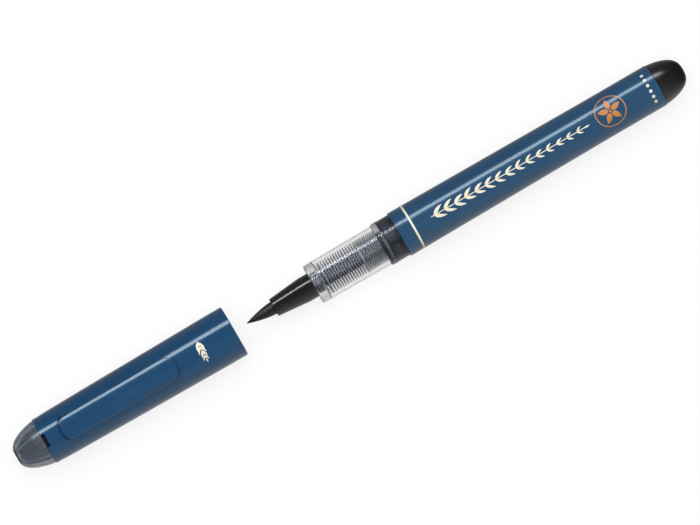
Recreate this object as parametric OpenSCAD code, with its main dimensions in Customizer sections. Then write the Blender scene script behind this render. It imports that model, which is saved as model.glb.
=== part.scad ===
// Disposable brush pen with a comb ink collector, lying on its side with its cap pulled off ahead of the tip.
// The pen's axis runs along X: the brush points to -X and the tail to +X. Z is up.
// Places along the pen are measured from the barrel's front lip, and places along the cap from its mouth.

/* [Barrel] */
// Length of the blue barrel tube
barrel_len = 70.9; // [66:0.1:76]
// Barrel radius at the front lip
lip_r = 5.79; // [5.75:0.01:5.85]
// Barrel radius along its straight rear seat
seat_r = 5.39; // [5.35:0.01:5.45]
// Length of the straight rear seat, where a posted cap or a holder grips
seat_len = 16; // [10:1:20]
// Bore radius at the front of the ink chamber
chamber_r = 4.9; // [4.8:0.01:4.95]
// Bore radius at the rear of the ink chamber
chamber_rear_r = 4.5; // [4.4:0.01:4.6]

/* [Tail plug] */
// How far the rounded tail stands out of the barrel
tail_len = 7.5; // [6.5:0.1:9]
// Radius of the tail where it leaves the barrel
tail_r = 5.25; // [5.1:0.01:5.3]
// Length of the plug's spigot inside the barrel
tail_spigot_len = 6; // [4:0.5:8]

/* [Front section] */
// Length of the clear tube in front of the barrel's collar
clear_len = 18.7; // [17:0.1:20]
// Length of the collar that the cap grips
collar_len = 4.9; // [4:0.1:6]
// Collar radius
collar_r = 5.47; // [5.4:0.01:5.5]
// Clear tube radius at its front end
clear_front_r = 5; // [4.95:0.01:5.1]
// Clear tube radius where it meets the collar
clear_rear_r = 5.15; // [5.1:0.01:5.2]
// Radius of the cavity that holds the collector
cavity_r = 4.2; // [4.2:0.01:4.25]
// Thickness of the clear end wall
end_wall = 2.15; // [1.8:0.05:2.4]

/* [Collector] */
// Radius of the collector's fins
fin_r = 4.13; // [4:0.01:4.15]
// Radius of the collector's core
core_r = 1.9; // [1.7:0.05:2.2]
// Number of wide-spaced fins in the front group
front_fins = 13; // [10:1:13]
// Spacing of the front fins
front_pitch = 0.68; // [0.6:0.01:0.68]
// Number of close-spaced fins in the rear group
rear_fins = 9; // [6:1:9]
// Spacing of the rear fins
rear_pitch = 0.53; // [0.48:0.01:0.53]
// Thickness of a fin
fin_t = 0.2; // [0.16:0.01:0.3]
// Width of the air slot along the collector's underside
air_slot_w = 0.9; // [0.5:0.1:1.2]

/* [Brush] */
// Length of brush that shows in front of its holder
brush_len = 7.5; // [6:0.1:8]
// Brush radius at the holder's mouth
brush_r = 1.64; // [1.6:0.01:1.66]
// Length of the black tip holder in front of the clear section
holder_len = 10.8; // [10:0.1:12]
// Holder radius at its mouth
holder_mouth_r = 2.29; // [2.25:0.01:2.4]
// Holder radius at its sealing cylinder
holder_r = 3.1; // [3.05:0.01:3.12]
// Radius of the relay core that brings ink to the brush
relay_r = 0.9; // [0.7:0.05:1]

/* [Ink] */
// Height of the ink's free surface above the pen's axis
ink_level = 1; // [-2:0.1:3.5]

/* [Cap] */
// Length of the blue cap body
cap_body_len = 52.1; // [51:0.1:53]
// Length of the smoked crown behind it
crown_len = 7.5; // [7:0.1:7.6]
// Outside radius at the cap's mouth
cap_mouth_r = 6.5; // [6.4:0.01:6.7]
// Outside radius at the crown joint
cap_rear_r = 5.9; // [5.85:0.01:6]
// Bore radius that slides over the collar
cap_bore_r = 5.57; // [5.57:0.01:5.6]
// Clear space between the cap's mouth and the brush tip at rest
cap_gap = 3.3; // [1:0.1:30]
// Width of the vent notch at the crown joint
notch_w = 3.3; // [2:0.1:4]

/* [Clip] */
// Distance from the cap's mouth to the clip's free end
clip_free_d = 16.1; // [14:0.1:20]
// Distance from the cap's mouth to the end of the clip's root
clip_root_d = 47.2; // [46:0.1:48]
// Half width of the clip at its free end
clip_free_w = 3.05; // [2.4:0.05:3.1]
// Half width of the clip at its root
clip_root_w = 2.9; // [2:0.05:2.9]
// Radius that the clip is crowned to across its top
clip_crown_r = 6.3; // [5.8:0.1:8]
// Thickness of the clip arm at its flexing root
clip_t = 1.2; // [1:0.05:1.3]

/* [Hidden] */
$fn = 96;
cut = 0.5; // how far a cutting shape runs past the surface it cuts

// The rest frame: the bounding box of pen and cap is centred on X = 0 and stands on Z = 0.
section_front = -collar_len - clear_len;
holder_front = section_front - holder_len;
brush_front = holder_front - brush_len;
mouth_rest = brush_front - cap_gap;
cap_len = cap_body_len + crown_len;
front_end = mouth_rest - cap_len;
tail_end = barrel_len + tail_len;
lip_x = -(front_end + tail_end) / 2;
mouth_x = lip_x + mouth_rest;
axis_z = cap_mouth_r;

// Barrel and tail
lip_chamfer = 0.12;
chamber_straight = 12;
straight_rear = barrel_len - tail_spigot_len - 3; // the bore is straight again from here back
plug_play = 0.02;
tail_wall = 1.1;
tail_round = [1.6, 3]; // exponents of the rounded tail's outline

// Front section
spigot_len = 9;
spigot_r = chamber_r - 0.03;
edge_r = 0.4;
bead_r = collar_r + 0.07;
bead_at = [-4.1, -3.3];
bead_ramp = 0.2;
stem_r = 2.7;
stem_play = 0.03;
cavity_front = section_front + end_wall;

// Collector
ring_t = 0.45;
ring_gap = 0.5;
collector_front = cavity_front + 0.05;
fins_front = collector_front + 2 * ring_t + 2 * ring_gap;
break_front = fins_front + front_fins * front_pitch;
break_t = 0.6;
rear_front = break_front + break_t + rear_pitch - fin_t;
head_front = -4.9;
head_flange_t = 0.6;
head_core_r = 3;
head_rib_w = 0.7;
head_ribs = 8;
head_rear = -0.6;
plug_end = 6;
collector_end = 8;
nose_r = 1.6;
nose_front = collector_front - 2.6;

// Brush and holder
relay_end = 12;
relay_play = 0.03;
bend_r = 1.9; // bore around the ball that the brush bends on
root_r = brush_r - 0.02;
root_play = 0.03;
root_front = holder_front + brush_r + 0.16;
holder_cone_len = 8.3;
ogive_len = brush_len * 1.17; // the ogive would reach its full radius this far from the tip
ogive_power = 0.88;
ogive_steps = 18;
tip_flat_r = 0.06;

// Cap
cap_mouth_len = 4.8;
cap_bulge = [[6.14, 38.2], [5.98, 49], [cap_rear_r, 50.5]];
cap_edge = 0.2;
cap_bore_straight = 12;
cap_bore_rear_r = 4.95;
flange_front = 49.6;
flange_t = 0.8;
flange_r = 5.2;
flange_play = 0.02;
groove_at = [3, 4.4]; // snap groove that the collar's bead drops into
groove_r = cap_bore_r + 0.08;
notch_len = 1;
crown_r = 5.7;
crown_round = [1.3, 3.05];
crown_full_len = crown_len + 0.2; // the outline is cut flat this much before it closes
crown_wall = 1.2;
crown_spigot_r = flange_r - 0.01;
crown_bore_r = 4.3;

// Inner cap
seal_r = holder_r + 0.03;
inner_mouth = 24;
seal_at = [24.4, 25.6];
nib_room_r = 3.7;
nib_room_end = 43;
inner_wall = 0.8;

// Clip
hinge_d = 44.2;
hinge_z = 6.85;
knuckle_r = clip_t / 2;
knuckle_play = 0.06;
clip_top_root = 7.5;
clip_top_free = 8.05;
arm_under_free = 6.8;
bump_d = 18.6;
bump_z = 6.47;
free_bow = 2.5; // how far the clip's free end bows outward
root_bow = 2; // how far its root end does
bow_steps = 10;

// Turns an outline of [radius, place from the lip] about the pen's axis.
module pen_turned(outline) {
    translate([lip_x, 0, axis_z]) rotate([0, 90, 0]) rotate([0, 0, 180]) rotate_extrude() polygon(outline);
}

// Turns an outline of [radius, distance from the mouth] about the cap's axis.
module cap_turned(outline) {
    translate([mouth_x, 0, axis_z]) rotate([0, -90, 0]) rotate_extrude() polygon(outline);
}

// Outline of a rounded end of radius r that would close at full, cut at len. powers set how blunt it is.
function rounded_end(start, r, full, len, powers, steps = 14) =
    [for (i = [0:steps])
        let (t = len / full * (1 - pow(1 - i / steps, 1.6)))
        [r * pow(max(0, 1 - pow(t, powers[0])), 1 / powers[1]), start + t * full]];

// Outline of one turned disc on a core.
function disc(core, r, front, thick) =
    [[core, front], [r, front], [r, front + thick], [core, front + thick]];

// Outline of a brush from its tip to the holder's mouth.
function ogive() =
    [for (i = [0:ogive_steps])
        let (s = brush_len * pow(i / ogive_steps, 1.5))
        [max(tip_flat_r, brush_r * pow(sin(90 * s / ogive_len) / sin(90 * brush_len / ogive_len), ogive_power)),
         brush_front + s]];

// ---- Pen ----

module barrel() {
    seat_front = barrel_len - seat_len;
    color([0.13, 0.29, 0.45])
        pen_turned([
            [chamber_r, 0], [lip_r - lip_chamfer, 0], [lip_r, lip_chamfer],
            [seat_r, seat_front], [seat_r, barrel_len],
            [chamber_rear_r, barrel_len], [chamber_rear_r, straight_rear],
            [chamber_r, chamber_straight]
        ]);
}

module tail_plug() {
    spigot_front = barrel_len - tail_spigot_len;
    spigot = chamber_rear_r - plug_play;
    hollow_r = spigot - tail_wall;
    color([0.06, 0.06, 0.07])
        difference() {
            pen_turned(concat(
                [[0, spigot_front], [spigot - lip_chamfer, spigot_front], [spigot, spigot_front + 2 * lip_chamfer],
                 [spigot, barrel_len]],
                rounded_end(barrel_len, tail_r, tail_len, tail_len, tail_round)
            ));
            pen_turned([[0, spigot_front - cut], [hollow_r, spigot_front - cut], [hollow_r, barrel_len + 1],
                        [hollow_r / 2, barrel_len + 3.5], [0, barrel_len + 3.5]]);
        }
}

module front_section() {
    front_edge = [for (a = [0:15:90]) [clear_front_r - edge_r + edge_r * sin(a), section_front + edge_r - edge_r * cos(a)]];
    color([0.85, 0.88, 0.9, 0.35])
        pen_turned(concat(
            [[stem_r + stem_play, section_front]],
            front_edge,
            [[clear_rear_r, -collar_len], [collar_r, -collar_len],
             [collar_r, bead_at[0] - bead_ramp], [bead_r, bead_at[0]],
             [bead_r, bead_at[1]], [collar_r, bead_at[1] + bead_ramp],
             [collar_r, 0], [spigot_r, 0], [spigot_r, spigot_len],
             [cavity_r, spigot_len], [cavity_r, cavity_front],
             [stem_r + stem_play, cavity_front]]
        ));
}

module collector() {
    bore_r = relay_r + relay_play;
    rings = [for (i = [0:1]) each disc(core_r, fin_r, collector_front + i * (ring_t + ring_gap), ring_t)];
    front_group = [for (i = [0:front_fins - 1]) each disc(core_r, fin_r, fins_front + i * front_pitch, fin_t)];
    rear_group = [for (i = [0:rear_fins - 1]) each disc(core_r, fin_r, rear_front + i * rear_pitch, fin_t)];
    color([0.45, 0.5, 0.56]) {
        difference() {
            pen_turned(concat(
                [[bore_r, nose_front], [nose_r, nose_front], [nose_r, collector_front]],
                rings, front_group, disc(core_r, fin_r, break_front, break_t), rear_group,
                [[core_r, head_front], [fin_r, head_front], [fin_r, head_front + head_flange_t],
                 [head_core_r, head_front + head_flange_t], [head_core_r, head_rear],
                 [fin_r, head_rear], [fin_r, plug_end], [core_r, plug_end], [core_r, collector_end],
                 [bore_r, collector_end]]
            ));
            air_slot();
        }
        for (i = [0:head_ribs - 1]) head_rib(360 * i / head_ribs);
    }
}

// The groove along the underside that lets air back past the fins.
module air_slot() {
    slot_front = collector_front - cut;
    translate([lip_x + slot_front, -air_slot_w / 2, axis_z - fin_r - cut])
        cube([head_front - slot_front, air_slot_w, fin_r + cut - core_r - 0.2]);
}

// One lengthwise rib between the two flanges of the collector's head, under the collar.
module head_rib(angle) {
    rib_front = head_front + head_flange_t;
    translate([lip_x, 0, axis_z]) rotate([angle, 0, 0])
        intersection() {
            translate([rib_front - 0.05, -head_rib_w / 2, head_core_r - 0.2])
                cube([head_rear - rib_front + 0.1, head_rib_w, fin_r]);
            rotate([0, 90, 0]) translate([0, 0, rib_front - cut])
                cylinder(r = fin_r, h = head_rear - rib_front + 2 * cut);
        }
}

module relay_core() {
    color([0.1, 0.1, 0.11])
        pen_turned([[0, nose_front], [relay_r, nose_front], [relay_r, relay_end], [0, relay_end]]);
}

// Liquid in the chamber, settled level with an air space above it.
module ink() {
    gap = 0.03;
    ink_front = spigot_len + 0.05;
    ink_rear = barrel_len - tail_spigot_len - 0.05;
    color([0.05, 0.05, 0.06])
        intersection() {
            pen_turned([
                [0, relay_end + 0.1], [relay_r + 0.1, relay_end + 0.1], [relay_r + 0.1, ink_front],
                [chamber_r - gap, ink_front], [chamber_r - gap, chamber_straight],
                [chamber_rear_r - gap, straight_rear],
                [chamber_rear_r - gap, ink_rear], [0, ink_rear]
            ]);
            translate([lip_x, -chamber_r, 0]) cube([barrel_len, 2 * chamber_r, axis_z + ink_level]);
        }
}

module tip_holder() {
    edge = 0.1;
    cone_end = holder_front + holder_cone_len;
    color([0.08, 0.08, 0.09])
        pen_turned([
            [bend_r, holder_front], [holder_mouth_r - edge, holder_front], [holder_mouth_r, holder_front + edge],
            [holder_r, cone_end], [holder_r, section_front], [stem_r, section_front],
            [stem_r, cavity_front], [root_r + root_play, cavity_front],
            [root_r + root_play, root_front], [bend_r, root_front]
        ]);
}

// The held end of the brush, packed in the holder.
module brush_root() {
    color([0.05, 0.05, 0.05])
        pen_turned([[0, root_front], [root_r, root_front], [root_r, nose_front - 0.02], [0, nose_front - 0.02]]);
}

// The free end of the brush, which bends about a ball at the holder's mouth.
module brush_tip() {
    color([0.04, 0.04, 0.04]) {
        pen_turned(concat([[0, brush_front]], ogive(), [[0, holder_front]]));
        translate([lip_x + holder_front, 0, axis_z]) sphere(r = brush_r);
    }
}

// ---- Cap ----

module cap_body() {
    color([0.11, 0.28, 0.45])
        difference() {
            union() {
                cap_turned(concat(
                    [[cap_bore_r + cap_edge, 0], [cap_mouth_r - cap_edge, 0], [cap_mouth_r, cap_edge],
                     [cap_mouth_r, cap_mouth_len]],
                    cap_bulge,
                    [[cap_rear_r, cap_body_len - cap_edge / 2], [cap_rear_r - cap_edge / 2, cap_body_len],
                     [flange_r + flange_play, cap_body_len], [flange_r + flange_play, flange_front],
                     [cap_bore_rear_r, flange_front], [cap_bore_r, cap_bore_straight],
                     [cap_bore_r, groove_at[1] + cap_edge], [groove_r, groove_at[1]],
                     [groove_r, groove_at[0]], [cap_bore_r, groove_at[0] - cap_edge],
                     [cap_bore_r, cap_edge]]
                ));
                clip_root();
            }
            vent_notch();
        }
}

module vent_notch() {
    translate([mouth_x - cap_body_len - cut, -notch_w / 2, axis_z + flange_r - 1])
        cube([notch_len + cut, notch_w, 3]);
}

// The crown end of the clip, moulded solid with the cap and hollowed for the arm's knuckle.
module clip_root() {
    foot = 5.1;
    difference() {
        intersection() {
            clip_blank();
            translate([mouth_x - clip_root_d - cut, -clip_free_w, axis_z + foot])
                cube([clip_root_d + cut - hinge_d, 2 * clip_free_w, 3]);
        }
        knuckle(knuckle_r + knuckle_play);
    }
}

// The clip's whole outline seen from above, crowned on top by a cylinder that rises towards the free end.
module clip_blank() {
    len = clip_root_d - clip_free_d;
    rise = atan((clip_top_free - clip_top_root) / len);
    intersection() {
        translate([mouth_x, 0, axis_z]) linear_extrude(9) polygon(concat(
            bowed_end(-clip_root_d, clip_root_w, root_bow, 1),
            bowed_end(-clip_free_d, clip_free_w, free_bow, -1)
        ));
        translate([mouth_x - clip_root_d, 0, axis_z + clip_top_root - clip_crown_r])
            rotate([0, 90 - rise, 0]) translate([0, 0, -1])
                cylinder(r = clip_crown_r, h = len + 2);
    }
}

// Points of one end of the clip at x, half width w, bowed outward by bow. inward is +1 or -1.
function bowed_end(x, w, bow, inward) =
    [for (i = [0:bow_steps])
        let (y = 1 - 2 * i / bow_steps)
        [x + inward * bow * (1 - pow(1 - pow(abs(y), 2.6), 0.5)), -inward * y * w]];

// Cylinder across the clip on its flexing line.
module knuckle(r) {
    translate([mouth_x - hinge_d, clip_free_w, axis_z + hinge_z]) rotate([90, 0, 0])
        cylinder(r = r, h = 2 * clip_free_w);
}

module clip() {
    neck_d = hinge_d - knuckle_r / 2;
    color([0.11, 0.28, 0.45])
        intersection() {
            clip_blank();
            union() {
                knuckle(knuckle_r);
                translate([mouth_x, clip_free_w, axis_z]) rotate([90, 0, 0]) linear_extrude(2 * clip_free_w)
                    polygon([
                        [-hinge_d, hinge_z + knuckle_r], [-hinge_d, hinge_z],
                        [-neck_d, hinge_z - knuckle_r * sqrt(3) / 2],
                        [-bump_d - 2, arm_under_free], [-bump_d - 0.5, bump_z],
                        [-bump_d + 0.5, bump_z], [-clip_free_d, arm_under_free + 0.15],
                        [-clip_free_d, 9], [-neck_d, 9], [-neck_d, hinge_z + knuckle_r]
                    ]);
            }
        }
}

module cap_crown() {
    spigot_front = flange_front + flange_t;
    hollow = rounded_end(cap_body_len, crown_bore_r, crown_full_len - crown_wall, crown_full_len - crown_wall, crown_round);
    color([0.45, 0.47, 0.5, 0.6])
        difference() {
            cap_turned(concat(
                [[0, spigot_front], [crown_spigot_r, spigot_front], [crown_spigot_r, cap_body_len]],
                rounded_end(cap_body_len, crown_r, crown_full_len, crown_len, crown_round),
                [[0, cap_len]]
            ));
            cap_turned(concat([[0, spigot_front - cut], [crown_bore_r, spigot_front - cut]], hollow));
        }
}

// Liner that seals round the tip holder and keeps the brush from drying.
module inner_cap() {
    outer_r = nib_room_r + inner_wall;
    rear_room = nib_room_end + 1;
    flange_rear = flange_front + flange_t;
    color([0.8, 0.82, 0.84])
        cap_turned([
            [0, nib_room_end], [nib_room_r, nib_room_end], [nib_room_r, seal_at[1] + 1],
            [seal_r, seal_at[1]], [seal_r, seal_at[0]], [seal_r + 0.35, inner_mouth],
            [outer_r - 0.3, inner_mouth], [outer_r, inner_mouth + 0.3], [outer_r, flange_front],
            [flange_r, flange_front], [flange_r, flange_rear], [nib_room_r, flange_rear],
            [nib_room_r, rear_room], [0, rear_room]
        ]);
}

barrel();
tail_plug();
front_section();
collector();
relay_core();
ink();
tip_holder();
brush_root();
brush_tip();
cap_body();
cap_crown();
inner_cap();
clip();
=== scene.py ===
"""A disposable brush pen lying uncapped on a pale floor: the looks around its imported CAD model.

Lengths here are in millimetres until a mesh is built, which is in metres in the CAD frame. The pen's axis runs along X.
"p" is a place along the pen from the barrel's front lip, towards the tail. "d" is a distance from the cap's mouth,
towards its crown. "across" is a distance round the surface from the top line, towards +Y.
"""
import math
import random

import bmesh
import bpy
import numpy as np
from mathutils import Matrix, Vector


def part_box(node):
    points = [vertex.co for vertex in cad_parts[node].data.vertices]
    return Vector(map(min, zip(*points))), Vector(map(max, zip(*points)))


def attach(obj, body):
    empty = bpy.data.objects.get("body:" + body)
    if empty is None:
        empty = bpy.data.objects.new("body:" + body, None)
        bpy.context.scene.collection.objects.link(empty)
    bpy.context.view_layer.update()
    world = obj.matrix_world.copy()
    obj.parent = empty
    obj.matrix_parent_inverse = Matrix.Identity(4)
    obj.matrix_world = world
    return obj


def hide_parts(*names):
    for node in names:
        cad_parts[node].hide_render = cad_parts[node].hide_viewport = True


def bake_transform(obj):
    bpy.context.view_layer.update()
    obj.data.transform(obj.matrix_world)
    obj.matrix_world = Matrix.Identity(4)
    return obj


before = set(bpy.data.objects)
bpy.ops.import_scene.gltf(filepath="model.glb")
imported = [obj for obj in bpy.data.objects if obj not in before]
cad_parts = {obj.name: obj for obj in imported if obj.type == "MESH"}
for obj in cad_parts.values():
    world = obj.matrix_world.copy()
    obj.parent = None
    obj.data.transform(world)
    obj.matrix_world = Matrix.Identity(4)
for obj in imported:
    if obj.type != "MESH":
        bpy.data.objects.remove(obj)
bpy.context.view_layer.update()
MM = 0.001


# ---- Sizes, some read from the CAD frame and some given ----

def low(node):
    """Lowest corner of a CAD node, in millimetres."""
    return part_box(node)[0] / MM


def high(node):
    """Highest corner of a CAD node, in millimetres."""
    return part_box(node)[1] / MM


def radius_of(node):
    """Largest radius of a node turned about the axis."""
    return (high(node).y - low(node).y) / 2


LIP = low("barrel").x
MOUTH = high("cap_body").x
AXIS_Z = radius_of("cap_body")
BARREL_LEN = high("barrel").x - LIP
LIP_R = radius_of("barrel")
CAP_R = radius_of("cap_body")
CAP_BODY_LEN = MOUTH - low("cap_body").x
CAP_LEN = MOUTH - low("cap_crown").x
TAIL_R = 5.25
TAIL_LEN = high("tail_plug").x - LIP - BARREL_LEN
SECTION_FRONT = low("front_section").x - LIP
HOLDER_FRONT = low("tip_holder").x - LIP
HOLDER_R = radius_of("tip_holder")
BRUSH_FRONT = low("brush_tip").x - LIP
BRUSH_R = radius_of("brush_tip")
FIN_R = radius_of("collector")

SEAT_R = 5.39
SEAT_FRONT = BARREL_LEN - 16
CHAMBER_R = 4.9
CHAMBER_REAR_R = 4.5
COLLAR_LEN = 4.9
COLLAR_R = 5.47
BEAD_R = radius_of("front_section")
CLEAR_FRONT_R = 5.0
CLEAR_REAR_R = 5.15
CAVITY_R = 4.2
CAVITY_FRONT = SECTION_FRONT + 2.15
CAP_BORE_R = 5.57
CLIP_ROOT_D, CLIP_ROOT_W, CLIP_ROOT_BOW = 47.2, 2.9, 2.0
CLIP_FREE_D, CLIP_FREE_W, CLIP_FREE_BOW = MOUTH - high("clip").x, high("clip").y, 2.5
CLIP_TOP_ROOT, CLIP_TOP_FREE = 7.5, high("clip").z - AXIS_Z
CLIP_CROWN_R = 6.3
CLIP_SUNK_R = 5.35


# ---- Mesh tools ----

def new_object(name, mesh):
    """Puts a mesh in the scene as an object of that name."""
    piece = bpy.data.objects.new(name, mesh)
    bpy.context.scene.collection.objects.link(piece)
    return piece


def finished(name, bm, material, body, nodes=()):
    """Turns a bmesh into a piece that rides on a body and stands for CAD nodes."""
    bmesh.ops.recalc_face_normals(bm, faces=bm.faces)
    mesh = bpy.data.meshes.new(name)
    bm.to_mesh(mesh)
    bm.free()
    mesh.materials.append(material)
    piece = new_object(name, mesh)
    if body:
        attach(piece, body)
    if nodes:
        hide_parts(*nodes)
    return piece


def arc_corner(before, corner, after, fillet, steps):
    """Points that round one corner of an outline, with a support point on each long side."""
    b, c, a = (np.array(p[:2], float) for p in (before, corner, after))
    to_b, to_a = b - c, a - c
    len_b, len_a = np.linalg.norm(to_b), np.linalg.norm(to_a)
    to_b, to_a = to_b / len_b, to_a / len_a
    half = math.acos(np.clip(to_b @ to_a, -1, 1)) / 2
    reach = min(fillet / math.tan(half), 0.45 * len_b, 0.45 * len_a)
    radius = reach * math.tan(half)
    middle = (to_b + to_a) / np.linalg.norm(to_b + to_a)
    centre = c + middle * radius / math.sin(half)
    start, end = c + to_b * reach, c + to_a * reach
    points = []
    support = 0.35 * reach + 0.02
    if len_b > 2.4 * (reach + support):
        points.append(start + to_b * support)
    for i in range(steps + 1):
        spoke = (start - centre) * (1 - i / steps) + (end - centre) * (i / steps)
        points.append(centre + spoke * radius / np.linalg.norm(spoke))
    if len_a > 2.4 * (reach + support):
        points.append(end + to_a * support)
    return points


def rounded_outline(outline, steps=4):
    """An outline of (place, radius, fillet) as plain points. A fillet of None keeps the point as a smooth one."""
    points = []
    for i, corner in enumerate(outline):
        fillet = corner[2] if len(corner) > 2 else 0.0
        if not fillet:
            points.append((np.array(corner[:2], float), fillet == 0.0))
            continue
        before, after = outline[i - 1], outline[(i + 1) % len(outline)]
        points += [(p, False) for p in arc_corner(before, corner, after, fillet, steps)]
    return points


def turned(outline, origin, direction, segments=128, steps=4):
    """A bmesh of a closed outline turned about the pen's axis.

    Places count from origin, in direction +1 or -1 along X.
    """
    bm = bmesh.new()
    rings = []
    angles = np.linspace(0, 2 * math.pi, segments, endpoint=False)
    for (place, radius), sharp in rounded_outline(outline, steps):
        x = (origin + direction * place) * MM
        if radius < 1e-4:
            rings.append(([bm.verts.new((x, 0, AXIS_Z * MM))], sharp))
            continue
        ring = [bm.verts.new((x, radius * math.sin(a) * MM, (AXIS_Z + radius * math.cos(a)) * MM)) for a in angles]
        rings.append((ring, sharp))
    for (here, _), (there, _) in zip(rings, rings[1:] + rings[:1]):
        join_rings(bm, here, there)
    for ring, sharp in rings:
        if sharp and len(ring) > 1:
            for a, b in zip(ring, ring[1:] + ring[:1]):
                edge = bm.edges.get((a, b))
                if edge:
                    edge.smooth = False
    for face in bm.faces:
        face.smooth = True
    return bm


def join_rings(bm, here, there):
    """Faces between two rings of one turned shape. A ring of one point is on the axis."""
    n = max(len(here), len(there))
    if n == 1:
        return
    for i in range(n):
        j = (i + 1) % n
        if len(here) == 1:
            bm.faces.new((here[0], there[j], there[i]))
        elif len(there) == 1:
            bm.faces.new((here[i], here[j], there[0]))
        else:
            bm.faces.new((here[i], here[j], there[j], there[i]))


def rounded_end(start, radius, full, length, powers, steps=30):
    """Outline of a blunt rounded end that would close at full, cut at length."""
    points = []
    for i in range(steps + 1):
        t = length / full * (1 - (1 - i / steps) ** 1.6)
        points.append((start + t * full, radius * max(0.0, 1 - t ** powers[0]) ** (1 / powers[1]), None))
    return points


# ---- Material tools ----

class Nodes:
    """Short calls for building one material's node tree."""

    def __init__(self, name):
        self.material = bpy.data.materials.new(name)
        self.material.use_nodes = True
        self.tree = self.material.node_tree
        self.shader = self.tree.nodes["Principled BSDF"]
        self.output = self.tree.nodes["Material Output"]
        self.place = self.add("ShaderNodeTexCoord").outputs["Object"]

    def axis(self, name):
        """The X, Y or Z of a point, in metres."""
        split = self.add("ShaderNodeSeparateXYZ")
        self.link(self.place, split.inputs[0])
        return split.outputs[name]

    def distance_from_axis(self):
        """Distance of a point from the pen's axis, in metres."""
        rise = self.math("SUBTRACT", self.axis("Z"), AXIS_Z * MM)
        squares = self.math("ADD", self.math("POWER", self.axis("Y"), 2.0), self.math("POWER", rise, 2.0))
        return self.math("SQRT", squares)

    def add(self, kind, **settings):
        node = self.tree.nodes.new(kind)
        for key, value in settings.items():
            setattr(node, key, value)
        return node

    def link(self, source, target):
        self.tree.links.new(source, target)

    def set(self, **values):
        """Sets plain values on the shader, such as Roughness=0.3, with _ for a space."""
        for key, value in values.items():
            self.shader.inputs[key.replace("_", " ")].default_value = value

    def stretched(self, scale):
        """Object coordinates scaled by (x, y, z), in repeats per metre."""
        mapping = self.add("ShaderNodeMapping")
        mapping.inputs["Scale"].default_value = scale
        self.link(self.place, mapping.inputs["Vector"])
        return mapping.outputs["Vector"]

    def noise(self, scale, detail=3.0, roughness=0.5, vector=None):
        node = self.add("ShaderNodeTexNoise")
        node.inputs["Scale"].default_value = scale
        node.inputs["Detail"].default_value = detail
        node.inputs["Roughness"].default_value = roughness
        self.link(vector or self.place, node.inputs["Vector"])
        return node.outputs["Fac"]

    def ramp(self, value, low_at, high_at, low_value=0.0, high_value=1.0):
        """Maps a value from low_at..high_at to low_value..high_value, smoothly."""
        node = self.add("ShaderNodeMapRange", interpolation_type="SMOOTHSTEP")
        for key, number in (("From Min", low_at), ("From Max", high_at), ("To Min", low_value), ("To Max", high_value)):
            node.inputs[key].default_value = number
        self.link(value, node.inputs["Value"])
        return node.outputs["Result"]

    def mix(self, factor, first, second):
        """Mixes two colours, each a tuple or a socket."""
        node = self.add("ShaderNodeMix", data_type="RGBA")
        if isinstance(factor, float):
            node.inputs["Factor"].default_value = factor
        else:
            self.link(factor, node.inputs["Factor"])
        for key, colour in (("A", first), ("B", second)):
            socket = next(s for s in node.inputs if s.name == key and s.type == "RGBA")
            if isinstance(colour, tuple):
                socket.default_value = (*colour, 1.0)
            else:
                self.link(colour, socket)
        return next(s for s in node.outputs if s.type == "RGBA")

    def math(self, operation, first, second=0.0):
        node = self.add("ShaderNodeMath", operation=operation)
        for socket, value in zip(node.inputs, (first, second)):
            if isinstance(value, (int, float)):
                socket.default_value = value
            else:
                self.link(value, socket)
        return node.outputs[0]

    def bump(self, height, distance):
        """Bump of that height in metres on the shader."""
        node = self.add("ShaderNodeBump")
        node.inputs["Distance"].default_value = distance
        node.inputs["Strength"].default_value = 1.0
        self.link(height, node.inputs["Height"])
        self.link(node.outputs["Normal"], self.shader.inputs["Normal"])

    def absorbs(self, colour, density):
        """Absorption inside the solid, with the colour that is left and the density per metre."""
        volume = self.add("ShaderNodeVolumeAbsorption")
        volume.inputs["Color"].default_value = (*colour, 1)
        volume.inputs["Density"].default_value = density
        self.link(volume.outputs[0], self.output.inputs["Volume"])

    def lets_lamps_through(self, share):
        """Lets this share of lamp light pass straight through clear plastic, so that what is inside is lit."""
        path = self.add("ShaderNodeLightPath")
        clear = self.add("ShaderNodeBsdfTransparent")
        clear.inputs["Color"].default_value = (share, share, share, 1)
        mix = self.add("ShaderNodeMixShader")
        self.link(path.outputs["Is Shadow Ray"], mix.inputs[0])
        self.link(self.shader.outputs[0], mix.inputs[1])
        self.link(clear.outputs[0], mix.inputs[2])
        self.link(mix.outputs[0], self.output.inputs["Surface"])


def moulded_plastic(name, colour, darker, roughness, gleam=(1, 1, 1)):
    """Polished injection-moulded plastic: faint flow marks along the length, fine orange peel and handling scuffs."""
    n = Nodes(name)
    flow = n.noise(1.0, 4.0, vector=n.stretched((60, 420, 420)))
    speckle = n.noise(9000, 2.0)
    tone = n.mix(n.ramp(flow, 0.3, 0.72), darker, colour)
    lighter = tuple(min(1.0, c * 1.25 + 0.004) for c in colour)
    n.link(n.mix(n.ramp(speckle, 0.52, 0.85, 0.0, 0.5), tone, lighter), n.shader.inputs["Base Color"])
    scratches = n.noise(1.0, 5.0, 0.65, n.stretched((140, 5200, 5200)))
    worn = n.math("MULTIPLY", n.ramp(scratches, 0.55, 0.8), n.ramp(n.noise(70, 2.0), 0.42, 0.7))
    scuffed = 0.1  # roughness that the worst scuffs add
    n.link(n.math("ADD", n.math("MULTIPLY", worn, scuffed), roughness), n.shader.inputs["Roughness"])
    peel = n.math("ADD", n.noise(2600, 2.0), n.math("MULTIPLY", scratches, 0.25))
    n.bump(peel, 0.000004)
    n.set(IOR=1.5, Specular_Tint=(*gleam, 1))
    return n.material


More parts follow.
